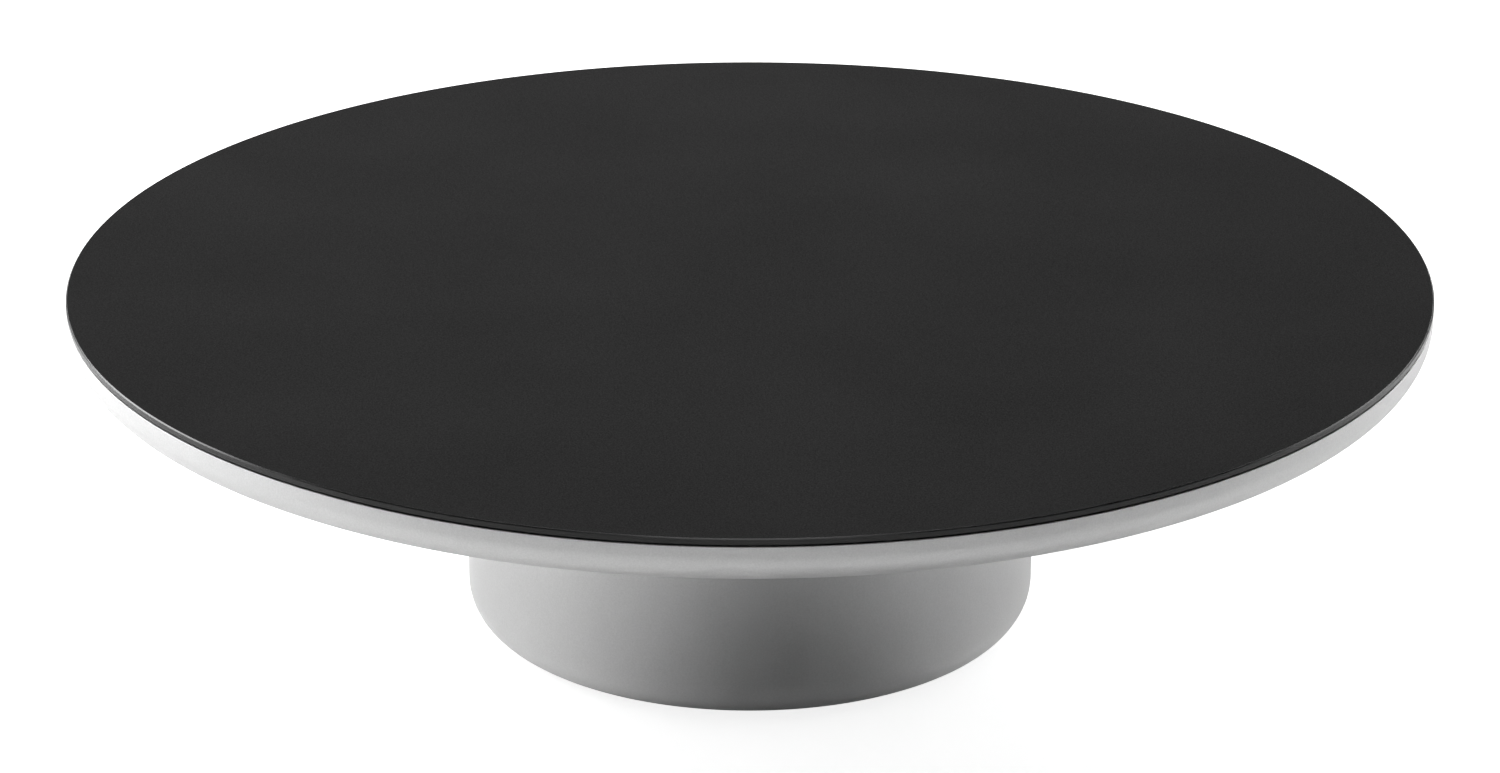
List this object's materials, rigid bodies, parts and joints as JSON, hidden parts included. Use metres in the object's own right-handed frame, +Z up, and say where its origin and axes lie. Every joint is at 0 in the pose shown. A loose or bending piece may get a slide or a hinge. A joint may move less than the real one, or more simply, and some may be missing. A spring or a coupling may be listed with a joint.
{
  "type": "pedestal coffee table",
  "caption": "Low round pedestal coffee table: dark satin glass disc over a shallow light-metal tray with a rolled edge, on a round weighted drum.",
  "frame": {"origin": "on the floor below the centre of the table, with the feet screwed right in", "axes": "+Z up along the table's axis; X and Y level, with the feet on the diagonals between them"},
  "size_m": [1.2, 1.2, 0.324],
  "materials": {
    "etched_glass": "satin-etched, back-painted charcoal, polished arris",
    "satin_aluminium": "fine bead-blasted, clear satin anodised",
    "mill_aluminium": "mill finish",
    "frame_steel": "black powder coat",
    "zinc_steel": "zinc plated",
    "ballast_iron": "rough cast, primed",
    "clear_silicone": "translucent silicone",
    "foot_nylon": "moulded black nylon"
  },
  "bodies": {
    "table": {"top_plate": "etched_glass", "glass_locating_disc": "zinc_steel", "glass_pad_outer_1": "clear_silicone", "glass_pad_outer_2": "clear_silicone", "glass_pad_outer_3": "clear_silicone", "glass_pad_outer_4": "clear_silicone", "glass_pad_outer_5": "clear_silicone", "glass_pad_outer_6": "clear_silicone", "glass_pad_inner_1": "clear_silicone", "glass_pad_inner_2": "clear_silicone", "glass_pad_inner_3": "clear_silicone", "glass_pad_inner_4": "clear_silicone", "glass_pad_inner_5": "clear_silicone", "glass_pad_inner_6": "clear_silicone", "tray_shell": "satin_aluminium", "drum_shell": "satin_aluminium", "rim_ring": "mill_aluminium", "spider_hub": "frame_steel", "spider_arm_1": "frame_steel", "spider_arm_2": "frame_steel", "spider_arm_3": "frame_steel", "spider_arm_4": "frame_steel", "spider_arm_5": "frame_steel", "spider_arm_6": "frame_steel", "top_bolt_1": "zinc_steel", "top_bolt_2": "zinc_steel", "top_bolt_3": "zinc_steel", "top_bolt_4": "zinc_steel", "top_bolt_5": "zinc_steel", "top_bolt_6": "zinc_steel", "column_bolt_1": "zinc_steel", "column_bolt_2": "zinc_steel", "column_bolt_3": "zinc_steel", "column_bolt_4": "zinc_steel", "column_top_flange": "frame_steel", "column_tube": "frame_steel", "column_bottom_flange": "frame_steel", "base_ring": "frame_steel", "base_plate": "frame_steel", "ballast_ring_1": "ballast_iron", "ballast_ring_2": "ballast_iron", "shell_screw_1": "zinc_steel", "shell_screw_2": "zinc_steel", "shell_screw_3": "zinc_steel", "shell_screw_4": "zinc_steel", "foot_insert_1": "zinc_steel", "foot_insert_2": "zinc_steel", "foot_insert_3": "zinc_steel", "foot_insert_4": "zinc_steel"},
    "pad_1": {"foot_pad_1": "foot_nylon"},
    "stem_1": {"foot_stem_1": "zinc_steel"},
    "pad_2": {"foot_pad_2": "foot_nylon"},
    "stem_2": {"foot_stem_2": "zinc_steel"},
    "pad_3": {"foot_pad_3": "foot_nylon"},
    "stem_3": {"foot_stem_3": "zinc_steel"},
    "pad_4": {"foot_pad_4": "foot_nylon"},
    "stem_4": {"foot_stem_4": "zinc_steel"}
  },
  "joints": [
    {"name": "foot_1_height", "type": "slide", "parent": "table", "child": "pad_1", "axis": [0, 0, -1], "range_m": [0, 0.012]},
    {"name": "foot_1_screw", "type": "hinge", "parent": "pad_1", "child": "stem_1", "pos_m": [0.12587, 0.12587, 0.01], "axis": [0, 0, -1], "range_deg": [0, 2880]},
    {"name": "foot_2_height", "type": "slide", "parent": "table", "child": "pad_2", "axis": [0, 0, -1], "range_m": [0, 0.012]},
    {"name": "foot_2_screw", "type": "hinge", "parent": "pad_2", "child": "stem_2", "pos_m": [-0.12587, 0.12587, 0.01], "axis": [0, 0, -1], "range_deg": [0, 2880]},
    {"name": "foot_3_height", "type": "slide", "parent": "table", "child": "pad_3", "axis": [0, 0, -1], "range_m": [0, 0.012]},
    {"name": "foot_3_screw", "type": "hinge", "parent": "pad_3", "child": "stem_3", "pos_m": [-0.12587, -0.12587, 0.01], "axis": [0, 0, -1], "range_deg": [0, 2880]},
    {"name": "foot_4_height", "type": "slide", "parent": "table", "child": "pad_4", "axis": [0, 0, -1], "range_m": [0, 0.012]},
    {"name": "foot_4_screw", "type": "hinge", "parent": "pad_4", "child": "stem_4", "pos_m": [0.12587, -0.12587, 0.01], "axis": [0, 0, -1], "range_deg": [0, 2880]}
  ],
  "couplings": [
    {"joint": "foot_1_screw", "follows": "foot_1_height", "rad_per_m": 4188.8},
    {"joint": "foot_2_screw", "follows": "foot_2_height", "rad_per_m": 4188.8},
    {"joint": "foot_3_screw", "follows": "foot_3_height", "rad_per_m": 4188.8},
    {"joint": "foot_4_screw", "follows": "foot_4_height", "rad_per_m": 4188.8}
  ]
}
